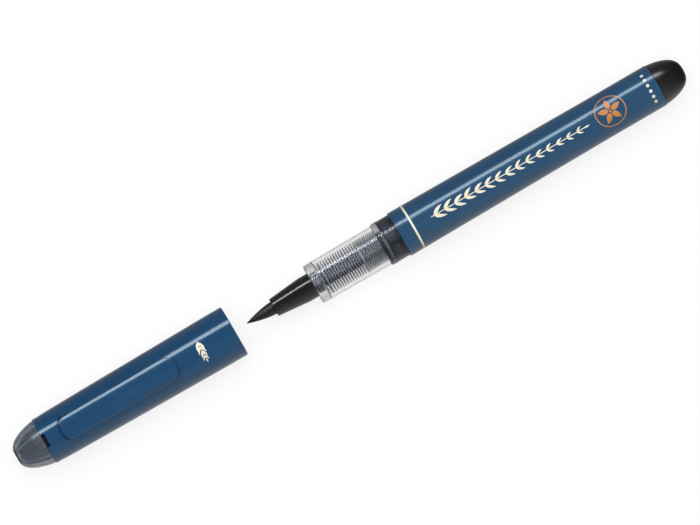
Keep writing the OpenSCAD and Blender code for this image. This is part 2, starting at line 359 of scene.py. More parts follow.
def clear_plastic(name, colour, roughness, share, absorbed, density):
    """Clear moulded plastic with faint turning lines, a few scuffs and some absorption in its thickness.

    share is the part of lamp light that passes straight through.
    """
    n = Nodes(name)
    lines = n.noise(1.0, 3.0, vector=n.stretched((2600, 60, 60)))
    scuffs = n.noise(1.0, 4.0, 0.6, n.stretched((400, 2600, 2600)))
    haze = tuple(c * 0.94 for c in colour)
    n.link(n.mix(n.ramp(scuffs, 0.5, 0.8), colour, haze), n.shader.inputs["Base Color"])
    n.link(n.ramp(scuffs, 0.45, 0.8, roughness, roughness + 0.03), n.shader.inputs["Roughness"])
    n.bump(lines, 0.0000004)
    n.set(IOR=1.47, Transmission_Weight=1.0, Specular_Tint=(0.6, 0.66, 0.78, 1))
    n.lets_lamps_through(share)
    n.absorbs(absorbed, density)
    return n.material


BLUE_GLEAM = (0.75, 0.93, 1.0)  # the blue plastics' highlights are bluer than those on black


# ---- Pen ----

def make_barrel():
    outline = [
        (0, CHAMBER_R, 0.08), (0, LIP_R, 0.14), (SEAT_FRONT, SEAT_R, None), (BARREL_LEN, SEAT_R, 0.1),
        (BARREL_LEN, CHAMBER_REAR_R, 0.08), (BARREL_LEN - 9, CHAMBER_REAR_R, None), (12, CHAMBER_R, None),
    ]
    material = moulded_plastic("barrel_blue", (0.022, 0.077, 0.162), (0.018, 0.068, 0.146), 0.165, gleam=BLUE_GLEAM)
    return finished("barrel_shell", turned(outline, LIP, 1), material, "pen", ["barrel"])


def make_tail_plug():
    spigot_r = CHAMBER_REAR_R - 0.02
    outline = [(BARREL_LEN - 6, 0, 0), (BARREL_LEN - 6, spigot_r, 0.15), (BARREL_LEN, spigot_r, 0),
               (BARREL_LEN, TAIL_R, 0.12)]
    outline += rounded_end(BARREL_LEN, TAIL_R, TAIL_LEN, TAIL_LEN, (1.6, 3))[1:]
    material = moulded_plastic("tail_black", (0.014, 0.0135, 0.0135), (0.01, 0.01, 0.0105), 0.24)
    return finished("tail_cap", turned(outline, LIP, 1), material, "pen", ["tail_plug"])


def make_front_section():
    spigot_r = CHAMBER_R - 0.03
    bore = 2.73
    outline = [
        (SECTION_FRONT, bore, 0.1), (SECTION_FRONT, CLEAR_FRONT_R, 0.4), (-COLLAR_LEN, CLEAR_REAR_R, 0.08),
        (-COLLAR_LEN, COLLAR_R, 0.12), (-4.3, COLLAR_R, 0.08), (-4.1, BEAD_R, 0.12), (-3.3, BEAD_R, 0.12),
        (-3.1, COLLAR_R, 0.08), (0, COLLAR_R, 0.05), (0, spigot_r, 0.05), (9, spigot_r, 0.1),
        (9, CAVITY_R, 0.05), (CAVITY_FRONT, CAVITY_R, 0.25), (CAVITY_FRONT, bore, 0.1),
    ]
    material = clear_plastic("section_clear", (0.94, 0.94, 0.94), roughness=0.1, share=0.95,
                             absorbed=(0.2, 0.21, 0.22), density=92)
    return finished("clear_section", turned(outline, LIP, 1), material, "pen", ["front_section"])


def disc(core, radius, front, thickness, edge=0.05):
    """Outline corners of one turned fin on a core."""
    rear = front + thickness
    return [(front, core, edge), (front, radius, edge), (rear, radius, edge), (rear, core, edge)]


def make_collector():
    core, bore = 1.9, 0.93
    front = CAVITY_FRONT + 0.05
    outline = [(front - 2.6, bore, 0), (front - 2.6, 1.6, 0.1), (front, 1.6, 0)]
    for i in range(2):
        outline += disc(core, FIN_R, front + i * 0.95, 0.45)
    fins_front, front_fins, front_pitch = front + 1.9, 13, 0.68
    for i in range(front_fins):
        outline += disc(core, FIN_R, fins_front + i * front_pitch, 0.2)
    break_front = fins_front + front_fins * front_pitch
    outline += disc(core, FIN_R, break_front, 0.6)
    rear_fins, rear_pitch = 9, 0.53
    for i in range(rear_fins):
        outline += disc(core, FIN_R, break_front + 0.93 + i * rear_pitch, 0.22, edge=0.03)
    head, head_rear = -4.9, -0.6
    outline += [(head, core, 0.05), (head, FIN_R, 0.05), (head + 0.6, FIN_R, 0.05), (head + 0.6, 3.0, 0.1),
                (head_rear, 3.0, 0.1), (head_rear, FIN_R, 0.05), (6, FIN_R, 0.1), (6, core, 0.1),
                (8, core, 0.1), (8, bore, 0)]
    bm = turned(outline, LIP, 1, segments=96, steps=2)
    add_head_ribs(bm, head + 0.6, head_rear)
    return finished("collector_comb", bm, comb_plastic(), "pen", ["collector"])


def add_head_ribs(bm, front, rear):
    """The lengthwise ribs between the two flanges of the collector's head."""
    for k in range(8):
        box = bmesh.ops.create_cube(bm, size=1.0)["verts"]
        size = Matrix.Diagonal(((rear - front) * MM, 0.7 * MM, 1.3 * MM, 1))
        place = Matrix.Translation(((LIP + (front + rear) / 2) * MM, 0, AXIS_Z * MM))
        turn = Matrix.Rotation(math.radians(45 * k), 4, "X")
        bmesh.ops.transform(bm, matrix=place @ turn @ Matrix.Translation((0, 0, 3.4 * MM)) @ size, verts=box)


def comb_plastic():
    """Blue-grey translucent comb: clear at the fins' rims, clouded with ink towards its core and round its head."""
    n = Nodes("comb_smoke")
    radius = n.distance_from_axis()
    along = n.axis("X")
    wet = n.ramp(radius, 0.0019, 0.0023, 1.0, 0.0)
    head = n.ramp(along, (LIP - 5.0) * MM, (LIP - 4.6) * MM)
    front = n.ramp(along, (LIP + CAVITY_FRONT + 1.0) * MM, (LIP + CAVITY_FRONT + 1.4) * MM, 1.0, 0.0)
    blotch = n.noise(420, 3.0)
    fin = n.mix(n.ramp(blotch, 0.35, 0.7), (0.12, 0.127, 0.145), (0.18, 0.189, 0.208))
    cloudy = n.mix(n.ramp(blotch, 0.35, 0.7), (0.026, 0.031, 0.043), (0.052, 0.058, 0.074))
    clouded = n.math("MAXIMUM", wet, n.math("MULTIPLY", front, 0.6))
    tone = n.mix(clouded, fin, cloudy)
    n.link(n.mix(head, tone, (0.012, 0.014, 0.018)), n.shader.inputs["Base Color"])
    n.link(n.ramp(blotch, 0.3, 0.7, 0.42, 0.58), n.shader.inputs["Roughness"])
    solid = n.math("MAXIMUM", wet, head)
    n.link(n.math("MULTIPLY", n.math("SUBTRACT", 1.0, solid), 0.2), n.shader.inputs["Transmission Weight"])
    n.bump(n.noise(3000, 2.0), 0.000004)
    n.set(IOR=1.45, Specular_Tint=(0.1, 0.12, 0.15, 1))
    n.lets_lamps_through(0.8)
    return n.material


def make_ink_film():
    """Ink that fills the clearance between the collector's head and the collar, seen through the clear wall."""
    inner, outer = CAVITY_R + 0.005, CAVITY_R + 0.025
    outline = [(-4.95, inner, 0), (-4.95, outer, 0), (0.2, outer, 0), (0.2, inner, 0)]
    n = Nodes("ink_film")
    angle = n.math("ARCTAN2", n.axis("Y"), n.math("SUBTRACT", n.axis("Z"), AXIS_Z * MM))
    turn = n.math("MULTIPLY", angle, 8 / (2 * math.pi))
    from_rib = n.math("ABSOLUTE", n.math("SUBTRACT", n.math("FRACT", n.math("ADD", turn, 8.3)), 0.5))
    window = n.ramp(from_rib, 0.3, 0.4, 1.0, 0.0)
    along = n.axis("X")
    near = n.ramp(along, (LIP - 3.1) * MM, (LIP - 2.7) * MM)
    far = n.ramp(along, (LIP - 1.3) * MM, (LIP - 0.9) * MM, 1.0, 0.0)
    streaks = n.ramp(n.noise(600, 3.0), 0.3, 0.7, 0.3, 1.0)
    # painted light: the windows between the head's ribs are lighter than the ink over the ribs
    painted_window_light = n.math("MULTIPLY", n.math("MULTIPLY", window, streaks), n.math("MULTIPLY", near, far))
    ink_with_window_light = n.mix(painted_window_light, (0.006, 0.0068, 0.0092), (0.036, 0.042, 0.055))
    # painted highlight: a light band where the collar's raised ring is, standing in for its reflection
    painted_ridge_highlight = n.math("MULTIPLY", n.ramp(along, (LIP - 4.1) * MM, (LIP - 3.95) * MM),
                  n.ramp(along, (LIP - 3.6) * MM, (LIP - 3.45) * MM, 1.0, 0.0))
    # lighter grey on the +Y side, in front of the collar's raised ring
    lighter_front_side = n.math("MULTIPLY", n.ramp(n.axis("Y"), 2.4 * MM, 3.2 * MM),
                 n.ramp(along, (LIP - 3.9) * MM, (LIP - 3.5) * MM, 1.0, 0.0))
    # the ink, lightened by the painted highlight band at the raised ring
    wet = n.mix(n.math("MULTIPLY", painted_ridge_highlight, streaks), ink_with_window_light, (0.11, 0.115, 0.13))
    n.link(n.mix(lighter_front_side, wet, (0.4, 0.41, 0.42)), n.shader.inputs["Base Color"])
    n.link(n.ramp(streaks, 0.3, 1.0, 0.4, 0.55), n.shader.inputs["Roughness"])
    n.bump(n.noise(1500, 2.0), 0.000002)
    n.set(Specular_Tint=(0.35, 0.4, 0.48, 1))
    return finished("ink_film", turned(outline, LIP, 1), n.material, "pen")


def make_tip_holder():
    cone_end = HOLDER_FRONT + 8.3
    outline = [
        (HOLDER_FRONT, 1.9, 0.05), (HOLDER_FRONT, 2.29, 0.12), (cone_end, HOLDER_R, None),
        (SECTION_FRONT, HOLDER_R, 0.05), (SECTION_FRONT, 2.7, 0), (CAVITY_FRONT, 2.7, 0.1), (CAVITY_FRONT, 1.65, 0.05),
        (HOLDER_FRONT + BRUSH_R + 0.16, 1.65, 0), (HOLDER_FRONT + BRUSH_R + 0.16, 1.9, 0),
    ]
    return finished("tip_cone", turned(outline, LIP, 1), holder_plastic(), "pen", ["tip_holder"])


def holder_plastic():
    """Black plastic in front of the clear section, and a blue-grey haze of ink on the stem inside it."""
    n = Nodes("holder_black")
    blotch = n.ramp(n.noise(700, 3.0), 0.35, 0.7)
    black = n.mix(blotch, (0.009, 0.009, 0.01), (0.012, 0.012, 0.013))
    haze = n.mix(blotch, (0.032, 0.037, 0.048), (0.052, 0.057, 0.07))
    inside = n.ramp(n.axis("X"), (LIP + SECTION_FRONT + 0.02) * MM, (LIP + SECTION_FRONT + 0.1) * MM)
    n.link(n.mix(inside, black, haze), n.shader.inputs["Base Color"])
    n.link(n.ramp(n.noise(1.0, 4.0, 0.6, n.stretched((300, 4000, 4000))), 0.4, 0.8, 0.13, 0.24),
           n.shader.inputs["Roughness"])
    n.bump(n.noise(2600, 2.0), 0.000004)
    n.set(IOR=1.5)
    return n.material


def brush_radius(place):
    """Radius of the shaped brush at a place in front of the holder's mouth, and of its root behind it."""
    if place >= HOLDER_FRONT:
        return BRUSH_R
    length = HOLDER_FRONT - BRUSH_FRONT
    reach = math.sin(math.pi / 2 * (place - BRUSH_FRONT) / (length * 1.17))
    full = math.sin(math.pi / 2 / 1.17)
    return BRUSH_R * (max(reach, 0.0) / full) ** 0.88


def make_brush():
    """One brush from its root in the holder to its point, with the grooves between bundles of fibre."""
    rng = random.Random(7)
    waves = [(k, rng.uniform(0, 2 * math.pi), rng.uniform(-0.35, 0.35), rng.uniform(0.4, 1.0))
             for k in (17, 23, 31, 38, 47, 59)]
    root = low("brush_root").x - LIP + 1.0
    segments, steps = 192, 90
    bm = bmesh.new()
    rings = []
    for i in range(steps + 1):
        place = BRUSH_FRONT + 0.02 + (root - BRUSH_FRONT) * (i / steps) ** 1.35
        radius = brush_radius(place)
        along = (place - BRUSH_FRONT) / (HOLDER_FRONT - BRUSH_FRONT)
        ring = []
        for s in range(segments):
            angle = 2 * math.pi * s / segments
            groove = sum(a * math.sin(k * (angle + twist * along * 0.3) + phase) for k, phase, twist, a in waves)
            groove = min(0.0, groove / 2.4) * 0.028 * min(1.0, radius / 0.7)
            r = (radius + groove) * MM
            ring.append(bm.verts.new(((LIP + place) * MM, r * math.sin(angle), AXIS_Z * MM + r * math.cos(angle))))
        rings.append(ring)
    for here, there in zip(rings, rings[1:]):
        join_rings(bm, here, there)
    for ring in (rings[0], rings[-1]):
        bm.faces.new(ring)
    for face in bm.faces:
        face.smooth = True
    piece = finished("fibre_brush", bm, fibre_material(), None, ["brush_tip", "brush_root"])
    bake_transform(piece)
    return piece


def fibre_material():
    """Black ink-wet fibres, streaked along their length, with lighter hair streaks that are partly painted sheen."""
    n = Nodes("brush_fibres")
    hairs = n.noise(1.0, 4.0, 0.6, n.stretched((500, 14000, 14000)))
    clumps = n.noise(1.0, 2.0, 0.5, n.stretched((220, 3200, 3200)))
    # lighter hair streaks: fibre tone and partly painted sheen
    tone = n.mix(n.ramp(hairs, 0.4, 0.75), (0.004, 0.004, 0.004), (0.022, 0.022, 0.024))
    n.link(n.mix(n.ramp(clumps, 0.4, 0.7, 0.0, 0.6), tone, (0.01, 0.01, 0.011)), n.shader.inputs["Base Color"])
    n.link(n.ramp(hairs, 0.35, 0.7, 0.3, 0.55), n.shader.inputs["Roughness"])
    n.bump(n.math("ADD", hairs, clumps), 0.00002)
    n.set(IOR=1.42)
    return n.material


# ---- Cap ----

def cap_outer(d):
    """Outside radius of the cap body at a distance from its mouth."""
    places, radii = zip((0, CAP_R), (4.8, CAP_R), (38.2, 6.14), (49, 5.98), (50.5, 5.9), (CAP_BODY_LEN, 5.9))
    return float(np.interp(d, places, radii))


def make_cap_body():
    flange_r, bore_rear = 5.22, 4.95
    outline = [
        (0, CAP_BORE_R, 0.2), (0, CAP_R, 0.28), (4.8, CAP_R, None), (38.2, 6.14, None), (49, 5.98, None),
        (50.5, 5.9, None), (CAP_BODY_LEN, 5.9, 0.1), (CAP_BODY_LEN, flange_r, 0.03), (49.6, flange_r, 0),
        (49.6, bore_rear, 0.05), (12, CAP_BORE_R, None), (4.6, CAP_BORE_R, 0.05), (4.4, CAP_BORE_R + 0.08, 0.05),
        (3.0, CAP_BORE_R + 0.08, 0.05), (2.8, CAP_BORE_R, 0.05),
    ]
    bm = turned(outline, MOUTH, -1, segments=160)
    piece = finished("cap_shell", bm, cap_plastic(), None, ["cap_body"])
    cut_away(piece, notch_shape())
    cut_away(piece, groove_shape())
    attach(piece, "cap")
    return piece


def cap_plastic():
    """The cap's blue, a little deeper than the barrel's."""
    return moulded_plastic("cap_blue", (0.0125, 0.065, 0.155), (0.01, 0.057, 0.137), 0.14, gleam=BLUE_GLEAM)


def notch_shape():
    """The vent notch in the cap wall at the crown joint, on the top line."""
    bm = bmesh.new()
    box = bmesh.ops.create_cube(bm, size=1.0)["verts"]
    size = Matrix.Diagonal((1.5 * MM, 3.3 * MM, 3 * MM, 1))
    place = Matrix.Translation(((MOUTH - CAP_BODY_LEN + 0.25) * MM, 0, (AXIS_Z + 5.7) * MM))
    bmesh.ops.transform(bm, matrix=place @ size, verts=box)
    return bm


def groove_shape():
    """The moulded groove round the clip's root, which fades out where the clip's sides run straight."""
    inside, outside, floor_r, full_r = -0.2, 0.45, 5.45, 6.2
    rows = []
    bm = bmesh.new()
    inner = clip_end(CLIP_ROOT_D + inside, CLIP_ROOT_W + inside, CLIP_ROOT_BOW + inside, -1)
    outer = clip_end(CLIP_ROOT_D + outside, CLIP_ROOT_W + outside, CLIP_ROOT_BOW + outside, -1)
    for i, pair in enumerate(zip(inner, outer)):
        side = 1 - 2 * i / (len(inner) - 1)
        fade = max(0.0, (side - 0.55) / 0.45, (-0.05 - side) / 0.6)
        radius = floor_r + (full_r - floor_r) * min(1.0, fade) ** 2
        row = []
        for d, across in pair:
            row.append((d, across, math.sqrt(radius ** 2 - across ** 2)))
        row += [(*pair[1], 9.0), (*pair[0], 9.0)]
        rows.append([bm.verts.new(((MOUTH - d) * MM, y * MM, (AXIS_Z + z) * MM)) for d, y, z in row])
    for here, there in zip(rows, rows[1:]):
        join_rings(bm, here, there)
    bm.faces.new(rows[0])
    bm.faces.new(rows[-1][::-1])
    bmesh.ops.recalc_face_normals(bm, faces=bm.faces)
    return bm


def cut_away(piece, bm):
    """Subtracts a closed shape from a piece."""
    mesh = bpy.data.meshes.new("cutter")
    bm.to_mesh(mesh)
    bm.free()
    cutter = new_object("cutter", mesh)
    cut = piece.modifiers.new("cut", "BOOLEAN")
    cut.operation, cut.solver, cut.object = "DIFFERENCE", "EXACT", cutter
    apply_modifiers(piece)
    bpy.data.objects.remove(cutter)


def apply_modifiers(piece):
    """Replaces a piece's mesh with its mesh after modifiers."""
    bpy.context.view_layer.update()
    graph = bpy.context.evaluated_depsgraph_get()
    mesh = bpy.data.meshes.new_from_object(piece.evaluated_get(graph), depsgraph=graph)
    piece.modifiers.clear()
    piece.data = mesh


def clip_end(end_d, half, bow, inward, steps=28):
    """Points (d, across) round one bowed end of the clip, from one side to the other."""
    points = []
    for i in range(steps + 1):
        turn = math.pi * (0.5 - i / steps)
        across = math.copysign(abs(math.sin(turn)) ** (1 / 1.3), math.sin(turn)) * half
        points.append((end_d + inward * bow * (1 - math.cos(turn)), -inward * across))
    return points


def clip_outline(steps=40):
    """Points round the clip seen from above, as (d, across): root end, side, free end, side."""
    root = clip_end(CLIP_ROOT_D, CLIP_ROOT_W, CLIP_ROOT_BOW, -1)
    free = clip_end(CLIP_FREE_D, CLIP_FREE_W, CLIP_FREE_BOW, 1)
    points = []
    for end, following in ((root, free), (free, root)):
        points += end
        here, there = np.array(end[-1]), np.array(following[0])
        points += [tuple(here + (there - here) * i / steps) for i in range(1, steps)]
    return points


def clip_top(d, across):
    """Height above the axis of the clip's crowned top."""
    share = (CLIP_ROOT_D - d) / (CLIP_ROOT_D - CLIP_FREE_D)
    crown_axis = CLIP_TOP_ROOT + (CLIP_TOP_FREE - CLIP_TOP_ROOT) * share - CLIP_CROWN_R
    return crown_axis + math.sqrt(CLIP_CROWN_R ** 2 - across ** 2)


def clip_under(d, across):
    """Height above the axis of the clip's underside: sunk in the cap at the root, clear of it along the arm."""
    sunk = math.sqrt(CLIP_SUNK_R ** 2 - across ** 2)
    arm = float(np.interp(d, (16.1, 18.1, 19.1, 20.6, 43.9), (6.95, 6.47, 6.47, 6.8, 6.33)))
    blend = min(1.0, max(0.0, (d - 43.0) / 0.9))
    return arm + (sunk - arm) * blend * blend * (3 - 2 * blend)


def make_clip():
    """The clip and its root as one moulding, with its top edges rounded."""
    outline = clip_outline()
    spine = [min(max(d, CLIP_FREE_D + 2.6), CLIP_ROOT_D - 2.6) for d, _ in outline]
    fillet = 0.17
    rings = [("under", k) for k in (1.0, 0.75, 0.5, 0.3, 0.12, 0.0)]
    rings += [("edge", k / 5) for k in range(6)]
    rings += [("top", k) for k in (0.03, 0.08, 0.15, 0.24, 0.35, 0.5, 0.7, 1.0)]
    bm = bmesh.new()
    made = []
    for kind, share in rings:
        ring = []
        for (d, across), spine_d in zip(outline, spine):
            inset = fillet / math.hypot(d - spine_d, across)
            turn = share * math.pi / 2
            pull = {"under": share, "edge": inset * (1 - math.cos(turn)), "top": inset + (1 - inset) * share}[kind]
            at_d, at_across = d + (spine_d - d) * pull, across * (1 - pull)
            height = clip_under(at_d, at_across) if kind == "under" else clip_top(at_d, at_across)
            if kind == "edge":
                height -= fillet * (1 - math.sin(turn))
            ring.append(bm.verts.new(((MOUTH - at_d) * MM, at_across * MM, (AXIS_Z + height) * MM)))
        made.append(ring)
    for here, there in zip(made, made[1:]):
        join_rings(bm, here, there)
    bmesh.ops.remove_doubles(bm, verts=bm.verts, dist=1e-6)
    for face in bm.faces:
        face.smooth = True
    piece = finished("pocket_clip", bm, bpy.data.materials["cap_blue"], None, ["clip"])
    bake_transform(piece)
    return piece


def make_crown():
    full = CAP_LEN - CAP_BODY_LEN + 0.2
    wall, hollow_r = 1.2, 4.3
    outer = rounded_end(CAP_BODY_LEN, 5.7, full, full - 0.2, (1.3, 3.05))
    inner = rounded_end(CAP_BODY_LEN, hollow_r, full - wall, full - wall, (1.3, 3.05))
    spigot_front, spigot_r = 50.4, 5.19
    outline = [(spigot_front, spigot_r, 0.1), (CAP_BODY_LEN, spigot_r, 0), (CAP_BODY_LEN, 5.7, 0.08)] + outer[1:-1]
    outline += [(outer[-1][0], outer[-1][1], 0.25), (CAP_LEN, 0, 0)]
    outline += inner[::-1] + [(spigot_front, hollow_r, 0.1)]
    bm = turned(outline, MOUTH, -1, segments=192)
    raise_ribs(bm, hollow_r + 0.05, full - wall)
    return finished("smoke_crown", bm, smoke_plastic(), "cap", ["cap_crown"])


def raise_ribs(bm, hollow_r, hollow_len):
    """Eight low lengthwise ribs on the wall of the crown's hollow."""
    ribs, height = 8, 0.22
    for vert in bm.verts:
        d = MOUTH - vert.co.x / MM
        y, z = vert.co.y / MM, vert.co.z / MM - AXIS_Z
        radius, depth = math.hypot(y, z), d - CAP_BODY_LEN
        share = min(1.0, max(0.0, depth / hollow_len))
        wall_r = hollow_r * max(0.0, 1 - share ** 1.3) ** (1 / 3.05)
        if 0.3 < radius <= wall_r and depth < hollow_len:
            ridge = max(0.0, math.cos(ribs * math.atan2(y, z) + 1.1)) ** 2
            scale = 1 - ridge * height * min(1.0, radius / 3) / radius
            vert.co.y, vert.co.z = y * scale * MM, (AXIS_Z + z * scale) * MM


def smoke_plastic():
    """Smoke-grey clear plastic, with flow streaks along it, and painted shade, near black, where it sits inside the cap
    body.
    """
    n = Nodes("crown_smoke")
    streaks = n.noise(1.0, 3.0, 0.55, n.stretched((90, 900, 900)))
    inside_cap_shade = n.ramp(n.axis("X"), (MOUTH - CAP_BODY_LEN - 0.05) * MM, (MOUTH - CAP_BODY_LEN + 0.05) * MM)
    smoke = n.mix(n.ramp(streaks, 0.35, 0.7), (0.19, 0.215, 0.25), (0.28, 0.315, 0.36))
    # painted shade: near black where the crown sits inside the cap body
    n.link(n.mix(inside_cap_shade, smoke, (0.012, 0.016, 0.02)), n.shader.inputs["Base Color"])
    n.link(n.ramp(streaks, 0.3, 0.8, 0.13, 0.2), n.shader.inputs["Roughness"])
    n.bump(streaks, 0.000003)
    n.set(IOR=1.49, Transmission_Weight=0.85, Specular_Tint=(0.6, 0.65, 0.7, 1))
    n.lets_lamps_through(0.4)
    return n.material


def make_inner_cap():
    room, outer = 3.7, 4.5
    outline = [
        (43, 0, 0), (43, room, 0.3), (26.6, room, 0.3), (25.6, 3.13, 0.2), (24.4, 3.13, 0.2), (24, 3.48, 0.1),
        (24, outer, 0.3), (49.6, outer, 0.1), (49.6, 5.2, 0.05), (50.4, 5.2, 0.05), (50.4, room, 0.1), (44, room, 0.3),
        (44, 0, 0),
    ]
    material = moulded_plastic("liner_white", (0.62, 0.65, 0.67), (0.55, 0.58, 0.6), 0.38)
    return finished("liner", turned(outline, MOUTH, -1), material, "cap", ["inner_cap"])


# ---- Printed decoration ----

class Print:
    """Thin printed shapes wrapped on a turned surface, collected in one bmesh."""

    FILM = 0.012  # how far the ink film stands off the plastic, in millimetres
    SUNK = -0.03  # how far its underside is sunk in the plastic

    def __init__(self, origin, direction, radius_at):
        self.bm = bmesh.new()
        self.origin, self.direction, self.radius_at = origin, direction, radius_at

    def wrap(self, place, across, lift):
        radius = self.radius_at(place) + lift
        angle = across / self.radius_at(place)
        x = self.origin + self.direction * place
        return ((x * MM, radius * math.sin(angle) * MM, (AXIS_Z + radius * math.cos(angle)) * MM))

    def strip(self, spine, widths, closed=False):
        """A strip that follows a spine of (place, across) points, with a width at each point."""
        spine = np.array(spine, float)
        ahead, behind = np.roll(spine, -1, 0), np.roll(spine, 1, 0)
        if not closed:
            ahead[-1], behind[0] = spine[-1], spine[0]
        along = ahead - behind
        along /= np.linalg.norm(along, axis=1)[:, None]
        self.sweep(spine, np.stack([-along[:, 1], along[:, 0]], 1), widths, closed)

    def sweep(self, spine, side, widths, closed):
        """The strip itself, from its spine, the direction across it at each point, and its widths."""
        columns = (-1.0, -0.5, 0.0, 0.5, 1.0)
        layers = []
        for lift in (self.FILM, self.SUNK):
            rows = [[self.bm.verts.new(self.wrap(*(p + s * w / 2 * c), lift)) for c in columns]
                    for p, s, w in zip(spine, side, widths)]
            layers.append(rows)
        self.sew(layers, closed)

    def sew(self, layers, closed):
        """Closes a strip's top and bottom layers into one thin solid."""
        top, under = layers
        count = len(top)
        pairs = [(i, (i + 1) % count) for i in range(count if closed else count - 1)]
        last = len(top[0]) - 1
        for i, j in pairs:
            for c in range(last):
                self.bm.faces.new((top[i][c], top[i][c + 1], top[j][c + 1], top[j][c]))
                self.bm.faces.new((under[i][c], under[j][c], under[j][c + 1], under[i][c + 1]))
            self.bm.faces.new((top[i][0], top[j][0], under[j][0], under[i][0]))
            self.bm.faces.new((top[i][last], under[i][last], under[j][last], top[j][last]))
        if not closed:
            for rows, rows_under in ((top[0], under[0]), (top[-1], under[-1])):
                for c in range(last):
                    self.bm.faces.new((rows[c], rows[c + 1], rows_under[c + 1], rows_under[c]))

    def band(self, place, width, steps=128):
        """A band right round the surface."""
        whole = 2 * math.pi * self.radius_at(place)
        spine = [np.array((place, whole * i / steps)) for i in range(steps)]
        self.sweep(spine, [np.array((-1.0, 0.0))] * steps, [width] * steps, closed=True)

    def leaf(self, place, across, heading, length, width, bend=0.0, steps=9):
        """A tapered leaf from its root point, heading in degrees from the pen's length."""
        spine, widths = [], []
        for i in range(steps + 1):
            t = i / steps
            angle = math.radians(heading + bend * t)
            spine.append((place + length * t * math.cos(angle), across + length * t * math.sin(angle)))
            widths.append(max(0.05, width * math.sin(math.pi * min(1.0, t ** 0.75 * 0.96 + 0.04)) ** 0.8))
        self.strip(spine, widths)

    def line(self, start, end, width, steps):
        spine = [tuple(np.array(start) + (np.array(end) - np.array(start)) * i / steps) for i in range(steps + 1)]
        self.strip(spine, [width] * (steps + 1))

    def ring(self, place, across, radius, width, steps=48):
        turns = [2 * math.pi * i / steps for i in range(steps)]
        self.strip([(place + radius * math.cos(a), across + radius * math.sin(a)) for a in turns],
                   [width] * steps, closed=True)

    def piece(self, name, material, body, slot):
        """Ends the print as one flat-shaded piece."""
        for face in self.bm.faces:
            face.smooth = False
        return finished(name, self.bm, material, body)


def print_ink(name, colour, darker):
    """Pad-printed ink: slightly uneven cover and a satin surface."""
    n = Nodes(name)
    cover = n.noise(3800, 3.0)
    n.link(n.mix(n.ramp(cover, 0.35, 0.7), darker, colour), n.shader.inputs["Base Color"])
    n.link(n.ramp(cover, 0.3, 0.7, 0.32, 0.45), n.shader.inputs["Roughness"])
    n.bump(cover, 0.000005)
    return n.material


def barrel_radius(p):
    """Outside radius of the barrel at a place along it."""
    return LIP_R + (SEAT_R - LIP_R) * min(1.0, p / SEAT_FRONT)


def branch(ink, start, end, leaf_size, pairs, seed):
    """A leafy branch: a stem with pairs of leaves that get smaller towards its tip."""
    rng = random.Random(seed)
    start, end = np.array(start), np.array(end)
    along = end - start
    heading = math.degrees(math.atan2(along[1], along[0]))
    stem_width, steps_per_mm = 0.2, 2
    ink.line(start, end, stem_width, steps=max(8, round(float(np.linalg.norm(along)) * steps_per_mm)))
    for k in range(pairs):
        t = (k + 0.3) / pairs
        x, y = start + along * t
        length = leaf_size * (1 - 0.5 * t)
        for side in (-1, 1):
            turn = side * (44 + rng.uniform(-6, 6))
            ink.leaf(x, y, heading + turn, length, 0.27 * length, bend=-side * 16)
    ink.leaf(end[0], end[1], heading, leaf_size * 0.5, leaf_size * 0.13)


def make_barrel_print():
    """A cream band, a leafy branch and a row of dots, and an orange blossom in a ring. None of it is lettering."""
    cream = print_ink("print_cream", (0.9, 0.86, 0.68), (0.8, 0.76, 0.58))
    ink = Print(LIP, 1, barrel_radius)
    ink.band(3.7, 0.5)
    branch(ink, start=(8.5, -0.2), end=(50.5, -0.2), leaf_size=3.1, pairs=15, seed=3)
    dots, dots_place, first_dot, dot_spacing = 6, 68.6, -3.6, 1.5
    for k in range(dots):
        ink.ring(dots_place, first_dot + dot_spacing * k, 0.24, 0.34, steps=16)
    ink.piece("barrel_print", cream, "pen", "blue_shell")

    orange = print_ink("print_orange", (0.62, 0.25, 0.06), (0.52, 0.2, 0.045))
    blossom = Print(LIP, 1, barrel_radius)
    place, across, petals = 57.9, 0.16, 5
    blossom.ring(place, across, 3.8, 0.26, steps=72)
    for k in range(petals):
        heading = 360 / petals * k + 18
        a = math.radians(heading)
        blossom.leaf(place + 0.5 * math.cos(a), across + 0.5 * math.sin(a), heading, length=2.6, width=1.35)
    blossom.ring(place, across, 0.18, 0.26, steps=16)
    blossom.piece("seal_print", orange, "pen", "blue_shell")


def make_cap_print():
    """A small sprig across the cap, by its mouth."""
    ink = Print(MOUTH, -1, cap_outer)
    branch(ink, start=(9.1, 2.3), end=(9.1, -2.3), leaf_size=2.3, pairs=4, seed=31)
    ink.piece("cap_print", bpy.data.materials["print_cream"], "cap", "blue_cap")


# ---- Carried-over CAD solids ----

def paint_hidden_solids():
    """The ink and the relay core keep their CAD shape and get their own materials."""
    ink = Nodes("ink_black")
    ripple = ink.noise(500, 2.0)
    black = ink.mix(ink.ramp(ripple, 0.3, 0.7), (0.006, 0.006, 0.008), (0.012, 0.012, 0.016))
    ink.link(black, ink.shader.inputs["Base Color"])
    ink.link(ink.ramp(ripple, 0.3, 0.7, 0.04, 0.08), ink.shader.inputs["Roughness"])
    wick = Nodes("wick_fibre")
    strands = wick.noise(1.0, 3.0, vector=wick.stretched((300, 9000, 9000)))
    stained = wick.mix(wick.ramp(strands, 0.3, 0.7), (0.02, 0.02, 0.022), (0.07, 0.07, 0.075))
    wick.link(stained, wick.shader.inputs["Base Color"])
    wick.link(wick.ramp(strands, 0.3, 0.7, 0.5, 0.8), wick.shader.inputs["Roughness"])
    wick.bump(strands, 0.00002)
    for node, material in (("ink", ink.material), ("relay_core", wick.material)):
        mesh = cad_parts[node].data
        mesh.materials.clear()
        mesh.materials.append(material)


# ---- Studio ----

